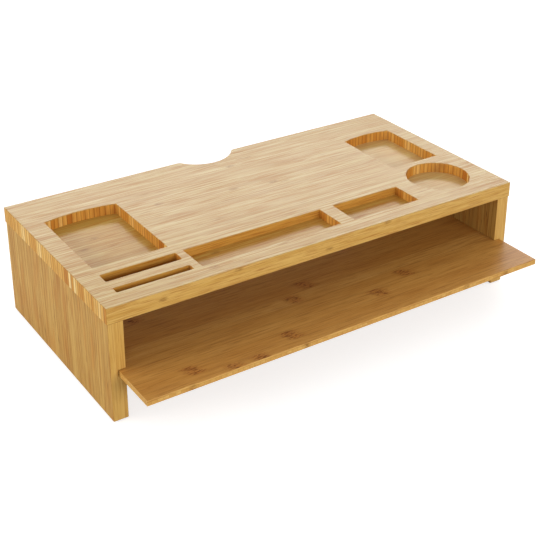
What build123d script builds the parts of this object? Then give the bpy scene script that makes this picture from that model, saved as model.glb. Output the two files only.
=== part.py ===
from build123d import *
import os

# A laptop stand of laminated bamboo: a thick board with milled recesses on two side
# panels, and a thin shelf that slides out of grooves in the panels.
# Millimetres, +X to the right, +Z up, the open front towards -Y.
# The origin lies on the table, under the middle of the stand with its shelf pulled out.

# Top board
board_width = 560
board_depth = 280
board_thickness = 19.5
corner_round = 1
edge_round = 0.9
underside_chamfer = 0.7
rim_chamfer = 0.6

# Cable notch in the rear edge
notch_radius = 45
notch_depth = 23
notch_shoulder_radius = 8

# Recesses: length runs along X, width along Y, sink is the depth below the top face
front_margin = 25
left_margin = 25
right_margin = 24
phone_slot_width = 9.5
tablet_slot_width = 16
slot_length = 92
slot_sink = 14
slot_corner_radius = 1.5
slot_spacing = 16.5
left_tray_width = 130
left_tray_arch = 5.5
left_tray_gap = 18
deep_sink = 13
pen_tray_gap = 11
pen_tray_length = 186
small_tray_gap = 20
small_tray_length = 96.5
front_tray_width = 43
shallow_sink = 10.5
cup_radius = 40
right_tray_gap = 10.5
right_tray_length = 73
right_tray_width = 102.5
right_tray_arch = 5.5

# Side panels
panel_height = 121
panel_thickness = 18
panel_side_setback = 1
panel_end_setback = 0.5

# Pull-out shelf and its grooves
shelf_depth = 262
shelf_thickness = 7
shelf_edge_round = 0.8
shelf_closed_setback = 1
shelf_pull = 65.5
groove_depth = 9.5
groove_base_height = 55.5
groove_side_clearance = 0.7
groove_base_clearance = 0.3
groove_top_clearance = 0.5
groove_end_clearance = 0.5

# Wooden dowels between panels and board
dowel_radius = 4
dowel_hole_clearance = 0.05
dowel_in_board = 10
dowel_in_panel = 20
dowel_end_space = 0.5
dowel_chamfer = 1
dowel_spacing = 220

# Cam locks in the panels and the bolts that they draw down
cam_radius = 7.5
cam_clearance = 0.1
cam_height = 13.5
cam_bore_space = 0.5
cam_drop = 34
cam_spacing = 140
cam_chamber_radius = 5.4
cam_wall = 0.8
cam_slot_angle = 100
cam_drive_length = 9
cam_drive_width = 1.6
cam_drive_sink = 2.5
bolt_thread_radius = 2.5
bolt_thread_length = 11
bolt_shank_radius = 3.5
bolt_neck_radius = 1.9
bolt_shoulder_gap = 0.5
bolt_head_radius = 3.3
bolt_head_height = 4
bolt_hole_clearance = 0.2

# Foot pads
pad_radius = 6
pad_thickness = 1.5
pad_end_distance = 20

# Heights
panel_base_z = pad_thickness
board_base_z = panel_base_z + panel_height
board_top_z = board_base_z + board_thickness
groove_base_z = panel_base_z + groove_base_height
shelf_base_z = groove_base_z + groove_base_clearance
groove_height = groove_base_clearance + shelf_thickness + groove_top_clearance
cam_centre_z = board_base_z - cam_drop

# Front to rear
shelf_reach = shelf_pull - shelf_closed_setback - panel_end_setback
board_rear_y = (board_depth + shelf_reach) / 2
board_front_y = board_rear_y - board_depth
board_centre_y = (board_front_y + board_rear_y) / 2
panel_depth = board_depth - 2 * panel_end_setback
panel_front_y = board_front_y + panel_end_setback
shelf_front_y = board_front_y - shelf_reach
shelf_centre_y = shelf_front_y + shelf_depth / 2
groove_length = shelf_closed_setback + shelf_depth + groove_end_clearance

# Side to side
board_left_x = -board_width / 2
board_right_x = board_width / 2
panel_outer_x = board_right_x - panel_side_setback
panel_inner_x = panel_outer_x - panel_thickness
panel_centre_x = (panel_inner_x + panel_outer_x) / 2
shelf_width = 2 * (panel_inner_x + groove_depth - groove_side_clearance)

# Places of the recesses, each given by its left and front edges
recess_front_y = board_front_y + front_margin
left_recess_x = board_left_x + left_margin
tablet_slot_y = recess_front_y + phone_slot_width + slot_spacing
left_tray_y = tablet_slot_y + tablet_slot_width + left_tray_gap
pen_tray_x = left_recess_x + slot_length + pen_tray_gap
small_tray_x = pen_tray_x + pen_tray_length + small_tray_gap
cup_centre_x = board_right_x - right_margin - cup_radius
cup_centre_y = recess_front_y + cup_radius
right_tray_x = board_right_x - right_margin - right_tray_length
right_tray_y = cup_centre_y + cup_radius + right_tray_gap

top_plane = Plane.XY.offset(board_top_z)
board_base_plane = Plane.XY.offset(board_base_z)

with BuildPart() as top_board:
    # Outline with the rounded cable notch
    with BuildSketch(board_base_plane) as outline:
        with Locations((0, board_centre_y)):
            Rectangle(board_width, board_depth)
        with Locations((0, board_rear_y + notch_radius - notch_depth)):
            Circle(notch_radius, mode=Mode.SUBTRACT)
        shoulders = outline.vertices().filter_by_position(Axis.X, -notch_radius, notch_radius)
        fillet(shoulders, radius=notch_shoulder_radius)
        corners = outline.vertices().group_by(Axis.X)
        fillet(corners[0] + corners[-1], radius=corner_round)
    extrude(amount=board_thickness)

    # Deep trays with arched rear edges, and the round cup recess
    with BuildSketch(top_plane):
        for left_x, front_y, length, width, arch in (
            (left_recess_x, left_tray_y, slot_length, left_tray_width, left_tray_arch),
            (right_tray_x, right_tray_y, right_tray_length, right_tray_width, right_tray_arch),
        ):
            rear_y = front_y + width
            right_x = left_x + length
            with BuildLine():
                Polyline((left_x, rear_y), (left_x, front_y), (right_x, front_y), (right_x, rear_y))
                ThreePointArc((right_x, rear_y), (left_x + length / 2, rear_y + arch), (left_x, rear_y))
            make_face()
        with Locations((cup_centre_x, cup_centre_y)):
            Circle(cup_radius)
    extrude(amount=-deep_sink, mode=Mode.SUBTRACT)

    # Pen tray and small tray
    with BuildSketch(top_plane):
        with Locations((pen_tray_x, recess_front_y)):
            Rectangle(pen_tray_length, front_tray_width, align=Align.MIN)
        with Locations((small_tray_x, recess_front_y)):
            Rectangle(small_tray_length, front_tray_width, align=Align.MIN)
    extrude(amount=-shallow_sink, mode=Mode.SUBTRACT)

    # Phone and tablet slots
    with BuildSketch(top_plane) as slots:
        with Locations((left_recess_x, recess_front_y)):
            Rectangle(slot_length, phone_slot_width, align=Align.MIN)
        with Locations((left_recess_x, tablet_slot_y)):
            Rectangle(slot_length, tablet_slot_width, align=Align.MIN)
        fillet(slots.vertices(), radius=slot_corner_radius)
    extrude(amount=-slot_sink, mode=Mode.SUBTRACT)

    # Broken rims and rounded outer edges
    top_face = top_board.faces().sort_by(Axis.Z)[-1]
    rims = [edge for wire in top_face.inner_wires() for edge in wire.edges()]
    chamfer(rims, length=rim_chamfer)
    top_face = top_board.faces().sort_by(Axis.Z)[-1]
    fillet(top_face.outer_wire().edges(), radius=edge_round)
    base_face = top_board.faces().sort_by(Axis.Z)[0]
    chamfer(base_face.outer_wire().edges(), length=underside_chamfer)

    # Blind holes in the underside for dowels and bolts
    with BuildSketch(board_base_plane):
        with Locations((0, board_centre_y)):
            with GridLocations(2 * panel_centre_x, dowel_spacing, 2, 2):
                Circle(dowel_radius + dowel_hole_clearance)
    extrude(amount=dowel_in_board + dowel_end_space, mode=Mode.SUBTRACT)
    with BuildSketch(board_base_plane):
        with Locations((0, board_centre_y)):
            with GridLocations(2 * panel_centre_x, cam_spacing, 2, 2):
                Circle(bolt_thread_radius)
    extrude(amount=bolt_thread_length, mode=Mode.SUBTRACT)

with BuildPart() as right_panel:
    # Upright with rounded edges everywhere but under the board
    with BuildSketch(Plane.XY.offset(panel_base_z)) as footprint:
        with Locations((panel_centre_x, board_centre_y)):
            Rectangle(panel_thickness, panel_depth)
        fillet(footprint.vertices(), radius=corner_round)
    extrude(amount=panel_height)
    chamfer(right_panel.edges().group_by(Axis.Z)[0], length=underside_chamfer)

    # Shelf groove, open at the front and stopped by the cutter's round end at the rear
    with BuildSketch(Plane.YZ.offset(panel_inner_x)):
        with Locations((panel_front_y, groove_base_z)):
            Rectangle(groove_length, groove_height, align=Align.MIN)
        with Locations((panel_front_y + groove_length, groove_base_z + groove_height / 2)):
            Circle(groove_height / 2)
    extrude(amount=groove_depth, mode=Mode.SUBTRACT)

    # Cam bores in the inner face, bolt and dowel holes in the top edge
    with BuildSketch(Plane.YZ.offset(panel_inner_x)):
        with Locations((board_centre_y, cam_centre_z)):
            with GridLocations(cam_spacing, 0, 2, 1):
                Circle(cam_radius)
    extrude(amount=cam_height + cam_bore_space, mode=Mode.SUBTRACT)
    with BuildSketch(board_base_plane):
        with Locations((panel_centre_x, board_centre_y)):
            with GridLocations(0, cam_spacing, 1, 2):
                Circle(bolt_shank_radius + bolt_hole_clearance)
    extrude(amount=-cam_drop, mode=Mode.SUBTRACT)
    with BuildSketch(board_base_plane):
        with Locations((panel_centre_x, board_centre_y)):
            with GridLocations(0, dowel_spacing, 1, 2):
                Circle(dowel_radius + dowel_hole_clearance)
    extrude(amount=-(dowel_in_panel + dowel_end_space), mode=Mode.SUBTRACT)

with BuildPart() as left_panel:
    mirror(right_panel.part, about=Plane.YZ)

with BuildPart() as pullout_shelf:
    with BuildSketch(Plane.XY.offset(shelf_base_z)):
        with Locations((0, shelf_centre_y)):
            Rectangle(shelf_width, shelf_depth)
    extrude(amount=shelf_thickness)
    front_face = pullout_shelf.faces().sort_by(Axis.Y)[0]
    fillet(front_face.edges().filter_by(Axis.X), radius=shelf_edge_round)

with BuildPart() as dowel:
    Cylinder(dowel_radius, dowel_in_board + dowel_in_panel, align=(Align.CENTER, Align.CENTER, Align.MAX))
    chamfer(dowel.edges().filter_by(GeomType.CIRCLE), length=dowel_chamfer)

with BuildPart() as dowels:
    with Locations((0, board_centre_y, board_base_z + dowel_in_board)):
        with GridLocations(2 * panel_centre_x, dowel_spacing, 2, 2):
            add(dowel.part)

with BuildPart() as cam_bolt:
    # Turned bolt below the board's underside, its head at the cam's centre
    head_base_z = -cam_drop - bolt_head_height / 2
    head_top_z = -cam_drop + bolt_head_height / 2
    neck_top_z = cam_radius + bolt_shoulder_gap - cam_drop
    with BuildSketch(Plane.XZ):
        with BuildLine():
            Polyline(
                (0, bolt_thread_length),
                (bolt_thread_radius, bolt_thread_length),
                (bolt_thread_radius, 0),
                (bolt_shank_radius, 0),
                (bolt_shank_radius, neck_top_z),
                (bolt_neck_radius, neck_top_z),
                (bolt_neck_radius, head_top_z),
                (bolt_head_radius, head_top_z),
                (bolt_head_radius, head_base_z),
                (0, head_base_z),
                close=True,
            )
        make_face()
    revolve(axis=Axis.Z)

with BuildPart() as cam_bolts:
    with Locations((0, board_centre_y, board_base_z)):
        with GridLocations(2 * panel_centre_x, cam_spacing, 2, 2):
            add(cam_bolt.part)

with BuildPart() as cam_lock:
    # Drum with its face at the origin and its axis along X, open where the bolt enters
    bolt_axis_depth = panel_thickness / 2
    chamber_half = cam_height - bolt_axis_depth - cam_wall
    with BuildSketch(Plane.YZ):
        Circle(cam_radius - cam_clearance)
    extrude(amount=cam_height)
    with BuildSketch(Plane.YZ.offset(bolt_axis_depth - chamber_half)):
        Circle(cam_chamber_radius)
    extrude(amount=2 * chamber_half, mode=Mode.SUBTRACT)
    neck_gap = bolt_neck_radius + bolt_hole_clearance
    with BuildSketch(Plane.YZ.offset(bolt_axis_depth - neck_gap)):
        with BuildLine():
            slot_arc = CenterArc((0, 0), 2 * cam_radius, 90 - cam_slot_angle / 2, cam_slot_angle)
            Line((0, 0), slot_arc @ 0)
            Line(slot_arc @ 1, (0, 0))
        make_face()
    extrude(amount=2 * neck_gap, mode=Mode.SUBTRACT)
    # Cross slot for the screwdriver
    with BuildSketch(Plane.YZ):
        Rectangle(cam_drive_length, cam_drive_width)
        Rectangle(cam_drive_width, cam_drive_length)
    extrude(amount=cam_drive_sink, mode=Mode.SUBTRACT)

with BuildPart() as cam_locks:
    with Locations((panel_inner_x, board_centre_y, cam_centre_z)):
        with GridLocations(0, cam_spacing, 1, 2):
            add(cam_lock.part)
    mirror(about=Plane.YZ)

pieces = {
    "top_board": top_board,
    "left_panel": left_panel,
    "right_panel": right_panel,
    "pullout_shelf": pullout_shelf,
    "dowels": dowels,
    "cam_bolts": cam_bolts,
    "cam_locks": cam_locks,
}

pad_offset_y = panel_depth / 2 - pad_end_distance
for side_name, side in (("left", -1), ("right", 1)):
    for end_name, end in (("front", -1), ("rear", 1)):
        with BuildPart() as foot_pad:
            with BuildSketch(Plane.XY):
                with Locations((side * panel_centre_x, board_centre_y + end * pad_offset_y)):
                    Circle(pad_radius)
            extrude(amount=pad_thickness)
        pieces[f"foot_pad_{end_name}_{side_name}"] = foot_pad

os.makedirs("parts", exist_ok=True)
for name, piece in pieces.items():
    piece.part.label = name
    export_step(piece.part, f"parts/{name}.step")
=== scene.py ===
import bpy
import math
import numpy as np
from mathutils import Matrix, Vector

# Looks of a bamboo laptop stand with a pull-out shelf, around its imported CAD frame.
# Metres, +X to the right along the grain of the board, open front towards -Y.

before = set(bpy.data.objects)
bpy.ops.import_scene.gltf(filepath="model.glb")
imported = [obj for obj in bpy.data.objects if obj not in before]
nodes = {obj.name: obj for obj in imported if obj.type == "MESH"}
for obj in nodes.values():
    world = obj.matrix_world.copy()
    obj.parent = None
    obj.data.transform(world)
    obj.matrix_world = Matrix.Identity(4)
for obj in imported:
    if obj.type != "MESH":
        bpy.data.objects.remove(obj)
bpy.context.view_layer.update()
scene = bpy.context.scene
scene.view_settings.view_transform = "Standard"
print("frame loaded:", len(nodes), "pieces")


class Wire:
    # an output socket of a finish; plain arithmetic on it adds Math nodes
    def __init__(self, finish, socket):
        self.finish, self.socket = finish, socket

    def __add__(self, other):
        return self.finish.math("ADD", self, other)

    def __radd__(self, other):
        return self.finish.math("ADD", other, self)

    def __sub__(self, other):
        return self.finish.math("SUBTRACT", self, other)

    def __rsub__(self, other):
        return self.finish.math("SUBTRACT", other, self)

    def __mul__(self, other):
        return self.finish.math("MULTIPLY", self, other)

    def __rmul__(self, other):
        return self.finish.math("MULTIPLY", other, self)

    def __truediv__(self, other):
        return self.finish.math("DIVIDE", self, other)

    def __rtruediv__(self, other):
        return self.finish.math("DIVIDE", other, self)

    def __gt__(self, other):
        return self.finish.math("GREATER_THAN", self, other)

    def __lt__(self, other):
        return self.finish.math("LESS_THAN", self, other)

    def __abs__(self):
        return self.finish.math("ABSOLUTE", self)


def tint(red, green, blue):
    # an on-screen colour, 0 to 255, as the linear one that sockets take
    steps = [value / 255 for value in (red, green, blue)]
    linear = [s / 12.92 if s <= 0.04045 else ((s + 0.055) / 1.055) ** 2.4 for s in steps]
    return (*linear, 1.0)


def tints(*stops):
    # ramp stops from (place, on-screen colour) pairs
    return [(place, tint(*colour)) for place, colour in stops]


class Finish:
    # the nodes of one material or of the sky
    def __init__(self, holder):
        self.holder = holder
        holder.use_nodes = True
        self.tree = holder.node_tree
        self.tree.nodes.clear()

    def node(self, kind, settings={}, sockets={}, out=0):
        # a node of any kind: its settings first, then the values or wires of its sockets
        made = self.tree.nodes.new(kind)
        for key, value in settings.items():
            if key == "stops":
                ramp = made.color_ramp
                ramp.elements[0].position, ramp.elements[0].color = value[0]
                ramp.elements[1].position, ramp.elements[1].color = value[-1]
                for place, colour in value[1:-1]:
                    ramp.elements.new(place).color = colour
            elif key == "stepped":
                made.color_ramp.interpolation = "CONSTANT" if value else "LINEAR"
            else:
                setattr(made, key, value)
        for key, value in sockets.items():
            if isinstance(value, Wire):
                self.tree.links.new(value.socket, made.inputs[key])
            else:
                made.inputs[key].default_value = value
        if isinstance(out, tuple):
            return tuple(Wire(self, made.outputs[o]) for o in out)
        return Wire(self, made.outputs[out])

    def math(self, operation, *values):
        return self.node("ShaderNodeMath", {"operation": operation}, dict(enumerate(values)))

    def larger(self, one, other):
        return self.math("MAXIMUM", one, other)

    def soft(self, value, low, high, floor=0.0, ceiling=1.0):
        # smooth step from floor to ceiling while value goes from low to high
        return self.node("ShaderNodeMapRange", {"interpolation_type": "SMOOTHSTEP"},
                         {0: value, 1: low, 2: high, 3: floor, 4: ceiling})

    def mix(self, share, under, over, blend="MIX"):
        return self.node("ShaderNodeMix", {"data_type": "RGBA", "blend_type": blend},
                         {0: share, 6: under, 7: over}, out=2)

    def ramp(self, value, stops, stepped=False):
        return self.node("ShaderNodeValToRGB", {"stops": stops, "stepped": stepped}, {0: value})

    def vector(self, x, y, z):
        return self.node("ShaderNodeCombineXYZ", {}, {0: x, 1: y, 2: z})

    def split(self, vector, kind="XYZ"):
        return self.node("ShaderNodeSeparate" + kind, {}, {0: vector}, out=(0, 1, 2))

    def noise(self, vector, scale=1.0, detail=2.0, roughness=0.5):
        sockets = {"Vector": vector, "Scale": scale, "Detail": detail, "Roughness": roughness}
        return self.node("ShaderNodeTexNoise", {}, sockets)

    def grain(self, spot, pattern):
        # clouds drawn out along the grain. Spot is (along, across, depth); the pattern is its
        # length, width and depth in metres, its levels of detail and their roughness
        *sizes, detail, roughness = pattern
        steps = [part / size for part, size in zip(spot, sizes)]
        return self.noise(self.vector(*steps), 1.0, detail, roughness)

    def random(self, value):
        # four random numbers for each whole number that comes in
        single, colour = self.node("ShaderNodeTexWhiteNoise", {"noise_dimensions": "1D"},
                                   {"W": value}, out=(0, 1))
        return (single,) + self.split(colour)

    def place(self):
        return self.split(self.node("ShaderNodeTexCoord", out="Object"))

    def normal(self):
        return self.split(self.node("ShaderNodeTexCoord", out="Normal"))

    def spots(self, place, size, centres, core=0.1):
        # soft spots at given places, as large along x, y and z as size says: 1 in the core,
        # 0 outside
        at = self.vector(*(part / reach for part, reach in zip(place, size)))
        marks = 0.0
        for centre in centres:
            ends = {0: at, 1: [part / reach for part, reach in zip(centre, size)]}
            gap = self.node("ShaderNodeVectorMath", {"operation": "DISTANCE"}, ends, out=1)
            marks = self.larger(marks, 1 - self.soft(gap, core, 1.0))
        return marks

    def close(self, colour, roughness, height, relief, **plain):
        # the shader and the output; height from 0 to 1 stands for relief metres
        bump = self.node("ShaderNodeBump", {},
                         {"Strength": 1.0, "Distance": relief, "Height": height})
        sockets = {"Base Color": colour, "Roughness": roughness, "Normal": bump, **plain}
        shader = self.node("ShaderNodeBsdfPrincipled", {}, sockets)
        self.node("ShaderNodeOutputMaterial", {}, {0: shader}, out=())
        return self.holder


# what the bamboo of all the pieces shares
bamboo = {
    # grain patterns: length, width and depth in metres, levels of detail, their roughness
    "drift": (0.11, 0.0031, 0.015, 2.0, 0.5), "blush": (0.07, 0.014, 0.014, 2.0, 0.5),
    "fibre": (0.022, 0.0005, 0.0015, 2.0, 0.6), "bunch": (0.09, 0.03, 0.03, 1.0, 0.5),
    "faceFlame": (0.11, 0.0042, 0.0042, 3.0, 0.6),
    "faceLine": (0.035, 0.0012, 0.0012, 3.0, 0.65),
    "faceFibre": (0.018, 0.0004, 0.0004, 2.0, 0.6),
    # where a pattern starts to show and where it shows in full
    "lineRange": (0.46, 0.63), "fibreRange": (0.5, 0.75), "dashRange": (0.63, 0.76),
    "bunchRange": (0.4, 0.62), "blushRange": (0.46, 0.66),
    "faceLineRange": (0.46, 0.66), "faceFibreRange": (0.5, 0.78),
    # how much a line, fibre or seam counts as dark, so as lower, rougher and duller
    "lineDark": 0.7, "fibreDark": 0.4, "seamDark": 0.6, "faceDark": 0.5, "cutDark": 0.5,
    # strips: two waves that sway their widths, the step of the grain from one to the next
    # (along, depth) and the share of a strip's width that its edge seam takes
    "stripWaves": (0.9, 0.37), "stripStep": (0.37, 0.011), "edgeSeamWidth": 0.1,
    # cross-cut ends: the dense side of a strip, upright tool marks (width and height in
    # metres, levels of detail, their roughness) and fibre bundles, more on the dense side
    "cutSeedStep": 0.5, "denseRange": (0.3, 1.0),
    "thread": (0.0011, 0.02, 2.0, 0.6), "threadStep": 3.1, "threadRange": (0.5, 0.72),
    "bundleSize": (0.0007, 0.0009), "bundleRange": (0.1, 0.36), "bundleShare": 0.6,
    "bundleLeast": 0.2, "bundleGrowth": 0.4,
    # how squarely a face looks to the front or back, and to an end, to take its grain
    "frontTurn": (0.55, 0.8), "endTurn": (0.5, 0.75),
    # lacquer: cloudy gloss (scale, levels of detail, their roughness), and what dark grain,
    # cut ends and milled floors take from it
    "cloud": (14, 3.0, 0.5), "cloudRough": 0.1, "darkRough": 0.08, "endRough": 0.15,
    "darkCoatLoss": 0.7, "endCoatLoss": 0.9, "milledCoatLoss": 0.5,
    # worn arrises: how squarely a face may look there, and where they are rubbed
    "arrisTurn": (0.75, 0.93), "rub": (70, 3.0, 0.5), "rubRange": (0.35, 0.7, 0.25, 1.0),
}


def strips(wood, look, across):
    # strip number, and place within the strip from 0 to 1, from the distance across the
    # grain. Two slow waves in the distance make the strips differ in width.
    width = look["stripWidth"]
    short, long = look["stripWaves"]
    wave = (wood.math("SINE", across * (short / width))
            + wood.math("SINE", across * (long / width) + look["seed"]))
    position = (across - look["stripStart"]) / width + wave * look["stripSway"]
    number = wood.math("FLOOR", position)
    return number, position - number


def seamLine(wood, within, width):
    # 1 at both sides of a strip, fading to 0 over width, as a share of the strip
    return 1 - wood.soft(wood.math("MINIMUM", within, 1 - within), 0.0, width)


def edgeGrain(wood, look, spot, number, within):
    # long grain on the narrow edges of glued strips: a tone for each strip that drifts along
    # it, fine fibre lines, short sap dashes and faint seams. Returns colour and darkness.
    along, across, depth = spot
    pick, _, seamPick, _ = wood.random(number + look["seed"])
    alongStep, depthStep = look["stripStep"]
    shifted = (along + number * alongStep, across, depth + number * depthStep)
    own = look["stripContrast"]
    drift = wood.grain(shifted, look["drift"])
    colour = wood.ramp(pick * own + drift * (1 - own), look["edgeTints"])
    blush = wood.soft(wood.grain(spot, look["blush"]), *look["blushRange"]) * look["blushShare"]
    line = wood.soft(wood.grain(shifted, look["line"]), *look["lineRange"])
    fibre = wood.soft(wood.grain(shifted, look["fibre"]), *look["fibreRange"])
    bunch = wood.soft(wood.grain(spot, look["bunch"]), *look["bunchRange"])
    dash = wood.soft(wood.grain(shifted, look["dash"]), *look["dashRange"]) * bunch
    seam = seamLine(wood, within, look["edgeSeamWidth"]) * seamPick
    colour = wood.mix(blush, colour, look["blushTint"], "MULTIPLY")
    colour = wood.mix(line * look["lineShare"], colour, look["lineTint"])
    colour = wood.mix(fibre * look["fibreShare"], colour, look["lineTint"])
    colour = wood.mix(dash * look["dashShare"], colour, look["dashTint"])
    colour = wood.mix(seam * look["seamShare"], colour, look["dashTint"])
    darkness = line * look["lineDark"] + fibre * look["fibreDark"]
    return colour, wood.larger(darkness, wood.larger(dash, seam * look["seamDark"]))


def faceGrain(wood, look, spot):
    # long grain on the wide face of one strip: broad soft flames along it and fine fibre
    colour = wood.ramp(wood.grain(spot, look["faceFlame"]), look["faceTints"])
    line = wood.soft(wood.grain(spot, look["faceLine"]), *look["faceLineRange"])
    fibre = wood.soft(wood.grain(spot, look["faceFibre"]), *look["faceFibreRange"])
    colour = wood.mix(line * look["faceLineShare"], colour, look["faceLineTint"])
    colour = wood.mix(fibre * look["fibreShare"], colour, look["faceLineTint"])
    return colour, line * look["faceDark"] + fibre * look["faceDark"]


def endGrain(wood, look, across, depth, number, within):
    # cross-cut strips: a tone for each, darker towards its dense side, with the cut fibre
    # bundles as dots, upright tool marks and a thin glue line on either side
    pick, lean, _, _ = wood.random(number + look["seed"] + look["cutSeedStep"])
    colour = wood.ramp(pick, look["endTints"])
    dense = within + (1 - 2 * within) * (lean > 0.5)
    shade = wood.soft(dense, *look["denseRange"]) * look["denseShare"]
    colour = wood.mix(shade, colour, look["endShade"])
    width, height, detail, roughness = look["thread"]
    at = wood.vector(across / width, depth / height, number * look["threadStep"])
    threads = wood.soft(wood.noise(at, 1.0, detail, roughness), *look["threadRange"])
    colour = wood.mix(threads * look["threadShare"], colour, look["endShade"])
    width, height = look["bundleSize"]
    at = wood.vector(across / width, depth / height, number)
    dots = wood.node("ShaderNodeTexVoronoi", {}, {"Vector": at, "Scale": 1.0})
    bundle = 1 - wood.soft(dots, *look["bundleRange"])
    bundle = bundle * (look["bundleLeast"] + dense * look["bundleGrowth"])
    colour = wood.mix(bundle * look["bundleShare"], colour, look["endShade"])
    seam = seamLine(wood, within, look["seamWidth"])
    colour = wood.mix(seam * look["endSeamShare"], colour, look["seamTint"])
    return colour, bundle * look["cutDark"] + seam * look["cutDark"]


def blendIn(wood, mask, under, over):
    # the second grain's colour and darkness over the first where the mask is 1
    return wood.mix(mask, under[0], over[0]), under[1] + (over[1] - under[1]) * mask


def closeWood(wood, look, place, colour, darkness, ends=0.0, milled=0.0):
    # satin lacquer: cloudy gloss, a little rougher and lower where the grain is dark.
    # End grain soaks the coat in and keeps little of its shine, a milled floor keeps some.
    cloud = wood.noise(wood.vector(*place), *look["cloud"])
    roughness = (look["roughness"] + darkness * look["darkRough"]
                 + (cloud - 0.5) * look["cloudRough"] + ends * look["endRough"])
    kept = (1 - ends * look["endCoatLoss"]) * (1 - milled * look["milledCoatLoss"])
    coat = kept * look["coat"] * (1 - darkness * look["darkCoatLoss"])
    plain = {"Specular IOR Level": look["gloss"], "Coat Weight": coat,
             "Coat Roughness": look["coatRoughness"]}
    return wood.close(colour, roughness, 1 - darkness, look["relief"], **plain)


def wornArris(wood, look, place, tilts, colour):
    # rounded edges, which look squarely along no axis: a thin darker line of finish, rubbed
    # pale here and there
    square = wood.larger(wood.larger(tilts[0], tilts[1]), tilts[2])
    arris = wood.soft(square, *look["arrisTurn"], 1.0, 0.0)
    rub = wood.soft(wood.noise(wood.vector(*place), *look["rub"]), *look["rubRange"])
    return wood.mix(arris * rub * look["arrisShare"], colour, look["arrisTint"])


board = {
    **bamboo,
    "stripWidth": 0.0058, "stripStart": -0.108, "stripSway": 0.14, "seed": 3.0,
    "stripContrast": 0.32,                    # share of a strip's own tone against its drift
    "edgeTints": tints((0.22, (175, 138, 64)), (0.42, (186, 152, 81)),
                       (0.58, (192, 164, 96)), (0.8, (199, 175, 112))),
    "blushTint": tint(246, 228, 206), "blushShare": 0.2,
    "line": (0.06, 0.0016, 0.01, 3.0, 0.62), "lineTint": tint(172, 118, 42),
    "lineShare": 0.9, "fibreShare": 0.4,
    "dash": (0.03, 0.0019, 0.006, 1.0, 0.5), "dashTint": tint(142, 88, 28),
    "dashShare": 0.6, "seamShare": 0.7,
    "faceTints": tints((0.25, (192, 140, 60)), (0.42, (208, 163, 80)),
                       (0.6, (219, 178, 96)), (0.8, (205, 154, 72))),
    "faceLineTint": tint(170, 108, 42), "faceLineShare": 0.75,
    "endTints": tints((0.0, (192, 128, 50)), (0.12, (204, 145, 62)), (0.35, (219, 168, 82)),
                      (0.7, (227, 180, 95)), (0.9, (233, 190, 106)),
                      (0.94, (244, 212, 140)), (1.0, (248, 220, 152))),
    "endShade": tint(172, 106, 38), "denseShare": 0.4, "threadShare": 0.45,
    "seamTint": tint(138, 76, 26), "seamWidth": 0.1, "endSeamShare": 0.85,
    "arrisTint": tint(150, 98, 48), "arrisShare": 0.6,
    "roughness": 0.42, "gloss": 0.2, "coat": 0.285, "coatRoughness": 0.27, "relief": 0.00003,
    "archBand": (0.1045, 0.118),              # the arched rear walls of the trays, along Y
    "cupCentre": (0.216, -0.043), "cupReach": 0.0412,
    # milled recesses lie within these bounds and below this height
    "innerX": 0.278, "innerY": (-0.1065, 0.125), "sunkBelow": 0.1415,
    # painted shade on the upright recess walls, and darker, warmer painted shade on the floors left
    # of paleEnd
    "wallShadeTint": tint(245, 228, 196),        # upright walls
    "floorTint": tint(252, 244, 214),         # floors left of paleEnd
    # painted light: the floors right of paleEnd are mixed towards a paler tint
    "floorLightTint": tint(236, 200, 142), "floorLightShare": 0.26, "paleEnd": 0.17,    # floors right of it
    # painted warm shade on the pen tray and small tray floors
    "shallowShadeTint": tint(254, 243, 229), "shallowAbove": 0.1305,     # pen tray and small tray
    # the two device slots lie left of slotEnd and in front of slotRear, with painted shade darkest
    # at the foot
    "slotShadeTint": tint(196, 172, 140), "slotEnd": -0.158, "slotRear": -0.0405, "slotFoot": 0.128,
    # culm joints, as broken brown dashes: on the top and floors, then on front and rear
    "topMarks": [(0.010, 0.126, 0.142), (-0.022, 0.065, 0.142), (0.031, 0.056, 0.142),
                 (-0.120, 0.078, 0.142), (-0.143, -0.092, 0.142), (-0.214, 0.062, 0.129),
                 (-0.235, 0.043, 0.129), (-0.115, -0.048, 0.1315)],
    "topMarkSize": (0.01, 0.005, 0.004),
    "frontMarks": [(-0.214, -0.108, 0.1324), (-0.121, -0.108, 0.1396), (0.0, -0.108, 0.1294),
                   (0.084, -0.108, 0.1402), (0.15, 0.172, 0.13), (-0.19, 0.172, 0.134)],
    "frontMarkSize": (0.008, 0.004, 0.0035),
    "markTint": tint(150, 104, 44), "markShare": 0.9,
    "markFleck": (0.005, 0.0011, 0.0011, 1.0, 0.5), "markFleckRange": (0.38, 0.6, 0.35, 1.0),
}


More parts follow.
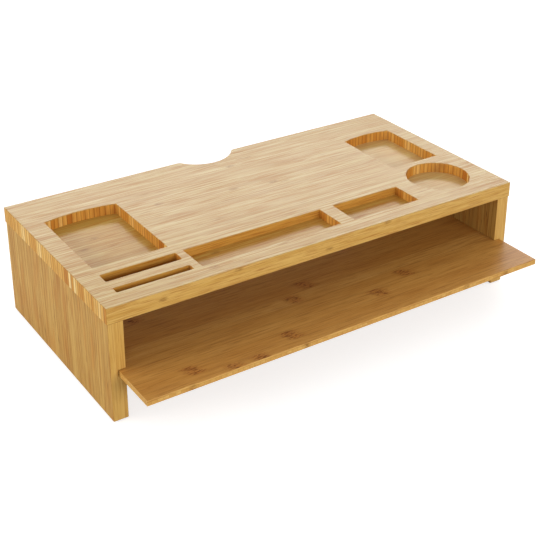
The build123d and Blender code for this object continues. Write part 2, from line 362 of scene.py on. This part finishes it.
def boardBamboo(look):
    # grain along X, strip edges on top, strip faces on the front and rear, cut ends left and
    # right and wherever a recess cuts across the grain
    wood = Finish(bpy.data.materials.new("boardBamboo"))
    place, normal = wood.place(), wood.normal()
    x, y, z = place
    tilts = [abs(part) for part in normal]
    number, within = strips(wood, look, y)
    grain = edgeGrain(wood, look, (x, y, z), number, within)
    front = wood.soft(tilts[1], *look["frontTurn"])
    grain = blendIn(wood, front, grain, faceGrain(wood, look, (x, z, y)))

    # around runs along the cut: front to rear at the ends, along X on the arches, and round
    # the cup recess by angle times radius
    upright = 1 - (tilts[2] > 0.5)
    low, high = look["archBand"]
    arch = (y > low) * (y < high) * (normal[1] < -0.5) * upright
    fromX, fromY = x - look["cupCentre"][0], y - look["cupCentre"][1]
    cup = (fromX * fromX + fromY * fromY < look["cupReach"] ** 2) * upright
    turn = wood.math("ARCTAN2", fromY, fromX) * look["cupReach"]
    around = y + arch * (x - y) + cup * (turn - y)
    endNumber, endWithin = strips(wood, look, around)
    ends = wood.larger(wood.soft(tilts[0], *look["endTurn"]), wood.larger(arch, cup))
    grain = blendIn(wood, ends, grain, endGrain(wood, look, around, z, endNumber, endWithin))

    # painted shade: the milled walls and floors are tinted darker and warmer, most of all at the
    # foot of the narrow slots; the floors at the right end take painted light, a paler tint
    colour, darkness = grain
    nearest, farthest = look["innerY"]
    inside = upright * (abs(x) < look["innerX"]) * (y > nearest) * (y < farthest)
    milled = (z < look["sunkBelow"]) * (normal[2] > 0.5)
    # painted light: a paler tint on the floors right of paleEnd
    pale = milled * (x > look["paleEnd"]) * look["floorLightShare"]
    # painted shade in the slots, darkest at their foot
    slot = (x < look["slotEnd"]) * (y < look["slotRear"]) * wood.larger(inside, milled)
    slot = slot * wood.soft(z, look["slotFoot"], look["sunkBelow"], 1.0, 0.0)
    # painted shade: the recess walls and the floors left of paleEnd darker and warmer
    colour = wood.mix(inside, colour, look["wallShadeTint"], "MULTIPLY")
    colour = wood.mix(milled * (x < look["paleEnd"]), colour, look["floorTint"], "MULTIPLY")
    colour = wood.mix(pale, colour, look["floorLightTint"])
    # painted warm shade on the shallow tray floors
    colour = wood.mix(milled * (z > look["shallowAbove"]), colour, look["shallowShadeTint"], "MULTIPLY")
    colour = wood.mix(slot, colour, look["slotShadeTint"], "MULTIPLY")

    flecks = wood.soft(wood.grain(place, look["markFleck"]), *look["markFleckRange"])
    marks = wood.larger(wood.spots(place, look["topMarkSize"], look["topMarks"]),
                        wood.spots(place, look["frontMarkSize"], look["frontMarks"]))
    marks = marks * flecks * look["markShare"]
    colour = wood.mix(marks, colour, look["markTint"])
    colour = wornArris(wood, look, place, tilts, colour)
    return closeWood(wood, look, place, colour, wood.larger(darkness, marks), ends, milled)


panels = {
    **board,
    "stripWidth": 0.0066, "stripStart": -0.1075, "stripSway": 0.16, "seed": 21.0,
    "stripContrast": 0.3,
    "edgeTints": tints((0.18, (184, 136, 62)), (0.36, (199, 154, 76)),
                       (0.58, (208, 166, 86)), (0.82, (216, 180, 102))),
    "blushTint": tint(246, 214, 172), "blushShare": 0.55, "faceLineShare": 0.4,
    "line": (0.09, 0.0021, 0.01, 3.0, 0.62), "lineTint": tint(162, 106, 40), "lineShare": 0.75,
    "dash": (0.02, 0.0019, 0.006, 1.0, 0.5), "dashTint": tint(122, 78, 32),
    "dashShare": 0.9, "seamShare": 0.5,
    "faceTints": tints((0.25, (198, 147, 70)), (0.45, (210, 165, 84)),
                       (0.6, (217, 175, 94)), (0.8, (204, 154, 75))),
    "roughness": 0.5, "gloss": 0.25, "coat": 0.1,
}


def panelBamboo(look):
    # grain upright, strips side by side from front to rear, cut ends above and below
    wood = Finish(bpy.data.materials.new("panelBamboo"))
    place, normal = wood.place(), wood.normal()
    x, y, z = place
    tilts = [abs(part) for part in normal]
    number, within = strips(wood, look, y)
    grain = edgeGrain(wood, look, (z, y, x), number, within)
    front = wood.soft(tilts[1], *look["frontTurn"])
    grain = blendIn(wood, front, grain, faceGrain(wood, look, (z, x, y)))
    ends = wood.soft(tilts[2], *look["endTurn"])
    cut = endGrain(wood, look, y, x, number, within)
    colour, darkness = blendIn(wood, ends, grain, cut)
    colour = wornArris(wood, look, place, tilts, colour)
    return closeWood(wood, look, place, colour, darkness, ends)


shelf = {
    **board,
    "stripWidth": 0.0205, "stripStart": -0.18025, "stripSway": 0.0, "seed": 44.0,
    "stripStep": (0.41, 0.013), "toneShare": 0.4,
    "flatTints": tints((0.2, (164, 108, 46)), (0.4, (187, 130, 59)),
                       (0.6, (200, 146, 72)), (0.8, (214, 164, 90))),
    "flatFlame": (0.07, 0.005, 0.005, 4.0, 0.65),
    "flatLine": (0.045, 0.0016, 0.0016, 4.0, 0.68), "flatLineRange": (0.49, 0.68),
    "flatFibre": (0.02, 0.00045, 0.00045, 2.0, 0.6),
    "flatLineTint": tint(134, 78, 30), "flatLineShare": 0.55, "flatLineDark": 0.6,
    "flatSeamWidth": 0.02, "flatSeamShare": 0.35,
    # culm joints of each strip from the front: one or two places along X, then its tone.
    # A place of 1 lies past the shelf's ends and shows none.
    "joints": [(-0.130, -0.162, 0.55), (-0.080, -0.205, 0.4), (0.058, 1, 0.6),
               (0.112, 1, 0.45), (-0.035, 1, 0.7), (-0.005, 1, 0.35), (1, 1, 0.5),
               (-0.215, 1, 0.65), (1, 1, 0.4), (-0.120, 1, 0.6), (0.090, 1, 0.5),
               (-0.220, 0.190, 0.35), (-0.020, 1, 0.6), (0.130, 1, 0.5)],
    "jointReach": 0.3,                        # the table holds places from - to + this
    "jointSize": 0.0155, "jointSlant": 0.5, "jointInset": 0.15,
    "jointCurl": (0.006, 0.003, 0.003, 1.0, 0.5), "jointCurlSize": 0.009,
    "jointFleck": (0.0055, 0.0013, 0.0013, 2.0, 0.5), "jointFleckTurn": (0.6, 0.15),
    "jointFleckRange": (0.46, 0.62),
    "haloTint": tint(176, 108, 46), "haloShare": 0.6,
    "jointTint": tint(106, 58, 22), "jointShare": 0.85,
    # edges: the core lies between these heights, with a glue line at each
    "plyFaces": (0.0594, 0.0622), "glueLine": 0.00018, "glueShare": 0.6,
    "cutStripScale": 3, "cutShare": 0.8,
    "faceTints": tints((0.25, (208, 156, 76)), (0.5, (220, 172, 92)), (0.8, (212, 160, 80))),
    "endTints": tints((0.0, (204, 150, 70)), (0.5, (216, 166, 84)), (1.0, (224, 178, 98))),
    "threadShare": 0.3, "denseShare": 0.2, "endSeamShare": 0.3,
    "frontMarks": [(-0.217, -0.172, 0.0608), (-0.074, -0.172, 0.0608),
                   (0.157, -0.172, 0.0608), (0.220, -0.172, 0.0608)],
    "frontMarkSize": (0.007, 0.004, 0.006), "markFleckRange": (0.38, 0.62, 0.25, 1.0),
    "roughness": 0.48, "gloss": 0.2, "coat": 0.1,
}


def shelfBamboo(look):
    # flat-pressed strips over a cross-laid core: three plies with two glue lines
    wood = Finish(bpy.data.materials.new("shelfBamboo"))
    place, normal = wood.place(), wood.normal()
    x, y, z = place
    tilts = [abs(part) for part in normal]
    number, within = strips(wood, look, y)

    # a stepped ramp is the table of joints: each strip reads its own stop
    stops, reach = len(look["joints"]), look["jointReach"]
    table = [(row / stops, (first / reach / 2 + 0.5, second / reach / 2 + 0.5, tone, 1.0))
             for row, (first, second, tone) in enumerate(look["joints"])]
    first, second, tone = wood.split(wood.ramp((number + 0.5) / stops, table, True), "Color")

    # flat face of the strips
    alongStep, depthStep = look["stripStep"]
    shifted = (x + number * alongStep, y, z + number * depthStep)
    flame = wood.grain(shifted, look["flatFlame"])
    own = look["toneShare"]
    colour = wood.ramp(tone * own + flame * (1 - own), look["flatTints"])
    line = wood.soft(wood.grain(shifted, look["flatLine"]), *look["flatLineRange"])
    fibre = wood.soft(wood.grain(shifted, look["flatFibre"]), *look["faceFibreRange"])
    colour = wood.mix(line * look["flatLineShare"], colour, look["flatLineTint"])
    colour = wood.mix(fibre * look["fibreShare"], colour, look["flatLineTint"])

    # culm joints: a brown halo across the strip, with darker flecks in it
    slant = (within - 0.5) * (look["stripWidth"] * look["jointSlant"])
    curl = (wood.grain(place, look["jointCurl"]) - 0.5) * look["jointCurlSize"]
    knuckle = 0.0
    for centre in (first, second):
        offset = x - (centre - 0.5) * (2 * reach) + slant + curl
        near = 1 - wood.soft(abs(offset) / look["jointSize"], 0.0, 1.0)
        knuckle = wood.larger(knuckle, near)
    inset = look["jointInset"]
    knuckle = knuckle * wood.soft(within, 0.0, inset) * (1 - wood.soft(within, 1 - inset, 1.0))
    colour = wood.mix(knuckle * look["haloShare"], colour, look["haloTint"])
    leanX, leanY = look["jointFleckTurn"]
    fleck = wood.grain((x + y * leanX, y - x * leanY, z), look["jointFleck"])
    knuckle = knuckle * wood.soft(fleck, *look["jointFleckRange"]) * look["jointShare"]
    colour = wood.mix(knuckle, colour, look["jointTint"])
    seam = seamLine(wood, within, look["flatSeamWidth"]) * look["flatSeamShare"]
    colour = wood.mix(seam, colour, look["jointTint"])
    grain = (colour, wood.larger(line * look["flatLineDark"], knuckle))

    # edges: long grain and end grain swap between the outer plies and the core
    low, high = look["plyFaces"]
    core = (z > low) * (z < high)
    front, ends = wood.soft(tilts[1], *look["frontTurn"]), wood.soft(tilts[0], *look["endTurn"])
    edge = wood.larger(front, ends)
    grain = blendIn(wood, edge, grain, faceGrain(wood, look, (x, z, y)))
    around = y + front * (x - y)
    endNumber, endWithin = strips(wood, look, around * look["cutStripScale"])
    cut = (front * core + ends * (1 - core)) * look["cutShare"]
    grain = blendIn(wood, cut, grain, endGrain(wood, look, around, z, endNumber, endWithin))
    colour, darkness = grain
    glue = wood.larger(*(1 - wood.soft(abs(z - ply), 0.0, look["glueLine"]) for ply in (low, high)))
    colour = wood.mix(glue * edge * look["glueShare"], colour, look["seamTint"])
    flecks = wood.soft(fleck, *look["markFleckRange"])
    marks = wood.spots(place, look["frontMarkSize"], look["frontMarks"]) * flecks
    marks = marks * look["markShare"]
    colour = wood.mix(marks, colour, look["markTint"])
    colour = wornArris(wood, look, place, tilts, colour)
    return closeWood(wood, look, place, colour, wood.larger(darkness, marks))


# clouds, grain, pores and dust below: scale, levels of detail, their roughness
bolts = {
    "name": "boltSteel", "brightTint": tint(196, 196, 200), "shadeTint": tint(170, 170, 172),
    "cloud": (260, 3.0, 0.6), "cloudRange": (0.35, 0.7), "cloudRough": 0.2,
    "grain": (2400, 2.0, 0.6), "roughness": 0.32, "relief": 0.00002,
}
cams = {
    **bolts,
    "name": "camZinc", "brightTint": tint(176, 177, 180), "shadeTint": tint(150, 150, 152),
    "grain": (1500, 2.0, 0.6), "roughness": 0.42, "relief": 0.00004,
}


def metalFinish(look):
    # cast or plated metal: cloudy tone, fine grain and small dents
    metal = Finish(bpy.data.materials.new(look["name"]))
    at = metal.vector(*metal.place())
    cloud = metal.noise(at, *look["cloud"])
    grain = metal.noise(at, *look["grain"])
    shade = metal.soft(cloud, *look["cloudRange"])
    colour = metal.mix(shade, look["brightTint"], look["shadeTint"])
    roughness = look["roughness"] + (cloud - 0.5) * look["cloudRough"]
    return metal.close(colour, roughness, grain, look["relief"], Metallic=1.0)


dowel = {
    "floorLightTint": tint(226, 190, 140), "darkTint": tint(204, 160, 108),
    "grain": (1.0, 3.0, 0.6), "grainStretch": (900, 900, 60),
    "grainRange": (0.35, 0.7), "grainRough": 0.1,
    "poreTint": tint(160, 112, 70), "pores": (1.0, 1.0, 0.5), "poreStretch": (3200, 3200, 420),
    "poreRange": (0.62, 0.72, 0.0, 0.5), "roughness": 0.62, "relief": 0.00008,
}


def dowelFinish(look):
    # beech: pale upright grain with short darker pores
    wood = Finish(bpy.data.materials.new("dowelBeech"))
    place = wood.place()
    at = wood.vector(*(part * times for part, times in zip(place, look["grainStretch"])))
    grain = wood.noise(at, *look["grain"])
    at = wood.vector(*(part * times for part, times in zip(place, look["poreStretch"])))
    pores = wood.soft(wood.noise(at, *look["pores"]), *look["poreRange"])
    shade = wood.soft(grain, *look["grainRange"])
    colour = wood.mix(shade, look["floorLightTint"], look["darkTint"])
    colour = wood.mix(pores, colour, look["poreTint"])
    roughness = look["roughness"] + grain * look["grainRough"]
    return wood.close(colour, roughness, grain, look["relief"])


pads = {
    "blackTint": tint(38, 37, 36), "dustTint": tint(70, 67, 62),
    "dust": (240, 3.0, 0.5), "dustRange": (0.4, 0.75, 0.0, 0.6),
    "pores": (1800, 2.0, 0.6), "poreRough": 0.12, "roughness": 0.78, "relief": 0.00008,
}


def rubberFinish(look):
    # matt black rubber with dust on it
    rubber = Finish(bpy.data.materials.new("padRubber"))
    at = rubber.vector(*rubber.place())
    pores = rubber.noise(at, *look["pores"])
    dust = rubber.soft(rubber.noise(at, *look["dust"]), *look["dustRange"])
    colour = rubber.mix(dust, look["blackTint"], look["dustTint"])
    roughness = look["roughness"] + pores * look["poreRough"]
    return rubber.close(colour, roughness, pores, look["relief"])


finishes = {
    "top_board": boardBamboo(board),
    "left_panel": panelBamboo(panels),
    "pullout_shelf": shelfBamboo(shelf),
    "dowels": dowelFinish(dowel),
    "cam_bolts": metalFinish(bolts),
    "cam_locks": metalFinish(cams),
    "foot_pad": rubberFinish(pads),
}
finishes["right_panel"] = finishes["left_panel"]
print("finishes made:", len(finishes))

for name, piece in nodes.items():
    # the CAD node keeps its mesh and takes its finish on every material slot
    finish = finishes["foot_pad" if name.startswith("foot_pad") else name]
    if not piece.material_slots:
        piece.data.materials.append(finish)
    for slot in piece.material_slots:
        slot.material = finish
print("pieces dressed")


studio = {
    "floorTint": tint(198, 197, 195), "fleckTint": tint(204, 203, 201),
    "fleck": (400, 2.0, 0.5), "fleckRange": (0.3, 0.7),
    "floorRoughness": 0.9, "floorRelief": 0.00001,
    "floorRadius": 9.0, "floorRings": 24, "floorSpokes": 96,
    "floorLift": 0.7,                         # light that the floor adds for the camera only
    "skyLevel": 0.6,                          # the sky on the stand; it is 1 to the camera
    # lamps: size, place, what they face, watts
    "lamps": {
        "keyLamp": ((3.8, 0.5), (1.95, 3.0, 1.95), (0, 0.05, 0.1), 60.0),   # behind, right
        "frontLamp": ((2.4, 1.2), (0.3, -3.4, 1.2), (0, 0, 0.08), 52.0),
        "leftLamp": ((2.0, 1.0), (-3.2, 1.0, 1.2), (0, 0, 0.08), 48.0),
    },
    "cameraPlace": (-0.69065, -1.043008, 0.755572),
    "cameraTurn": (65.561, -0.026, -33.098),  # degrees
    "sensorWidth": 36, "lens": 76.909,        # millimetres
    "shift": -100 / 540,                      # the photograph holds the stand above its middle
}


def floorDisc(name, radius, rings, spokes):
    # flat disc: the radius of a ring grows with the square of its number
    reach = radius * (np.arange(1, rings + 1) / rings) ** 2
    angle = np.linspace(0, 2 * np.pi, spokes, endpoint=False)
    level = np.zeros((rings, spokes))
    grid = np.stack([np.outer(reach, np.cos(angle)), np.outer(reach, np.sin(angle)), level], -1)
    points = np.concatenate([np.zeros((1, 3)), grid.reshape(-1, 3)])
    spoke = np.arange(spokes)
    following = (spoke + 1) % spokes
    inner = 1 + (np.arange(rings - 1) * spokes)[:, None]
    outer = inner + spokes
    quads = np.stack([inner + spoke, outer + spoke, outer + following, inner + following], -1)
    fans = np.stack([np.zeros(spokes, int), 1 + spoke, 1 + following], -1)
    mesh = bpy.data.meshes.new(name)
    mesh.from_pydata(points.tolist(), [], fans.tolist() + quads.reshape(-1, 4).tolist())
    disc = bpy.data.objects.new(name, mesh)
    scene.collection.objects.link(disc)
    return disc


def floorPaper(look):
    # pale paper that the camera sees lighter than it lights the stand, with its shadow kept
    paper = Finish(bpy.data.materials.new("floorPaper"))
    straight = paper.node("ShaderNodeLightPath", out="Is Camera Ray")
    fleck = paper.noise(paper.vector(*paper.place()), *look["fleck"])
    shade = paper.soft(fleck, *look["fleckRange"])
    colour = paper.mix(shade, look["floorTint"], look["fleckTint"])
    lift = {"Emission Color": (1, 1, 1, 1), "Emission Strength": straight * look["floorLift"]}
    return paper.close(colour, look["floorRoughness"], fleck, look["floorRelief"], **lift)


floor = floorDisc("studioFloor", studio["floorRadius"], studio["floorRings"], studio["floorSpokes"])
floor.data.materials.append(floorPaper(studio))

# the sky lights the stand softly, and is white to the camera and in reflections
sky = Finish(bpy.data.worlds.new("studioSky"))
scene.world = sky.holder
straight, shiny, through = sky.node(
    "ShaderNodeLightPath", out=("Is Camera Ray", "Is Glossy Ray", "Is Transmission Ray"))
seen = sky.larger(sky.larger(straight, shiny), through)
level = studio["skyLevel"] + (1 - studio["skyLevel"]) * seen
glow = sky.node("ShaderNodeBackground", {}, {"Color": (1, 1, 1, 1), "Strength": level})
sky.node("ShaderNodeOutputWorld", {}, {0: glow}, out=())


def softLamp(name, size, place, target, power):
    # rectangular lamp that faces its target
    lamp = bpy.data.lights.new(name, "AREA")
    lamp.shape = "RECTANGLE"
    lamp.size, lamp.size_y = size
    lamp.energy = power
    holder = bpy.data.objects.new(name, lamp)
    scene.collection.objects.link(holder)
    holder.location = place
    holder.rotation_euler = (Vector(place) - Vector(target)).to_track_quat("Z", "Y").to_euler()


for name, lamp in studio["lamps"].items():
    softLamp(name, *lamp)

lens = bpy.data.cameras.new("photoCamera")
lens.sensor_width = studio["sensorWidth"]
lens.lens = studio["lens"]
lens.shift_y = studio["shift"]
camera = bpy.data.objects.new("photoCamera", lens)
scene.collection.objects.link(camera)
camera.location = studio["cameraPlace"]
camera.rotation_euler = [math.radians(angle) for angle in studio["cameraTurn"]]
scene.camera = camera
print("studio set")
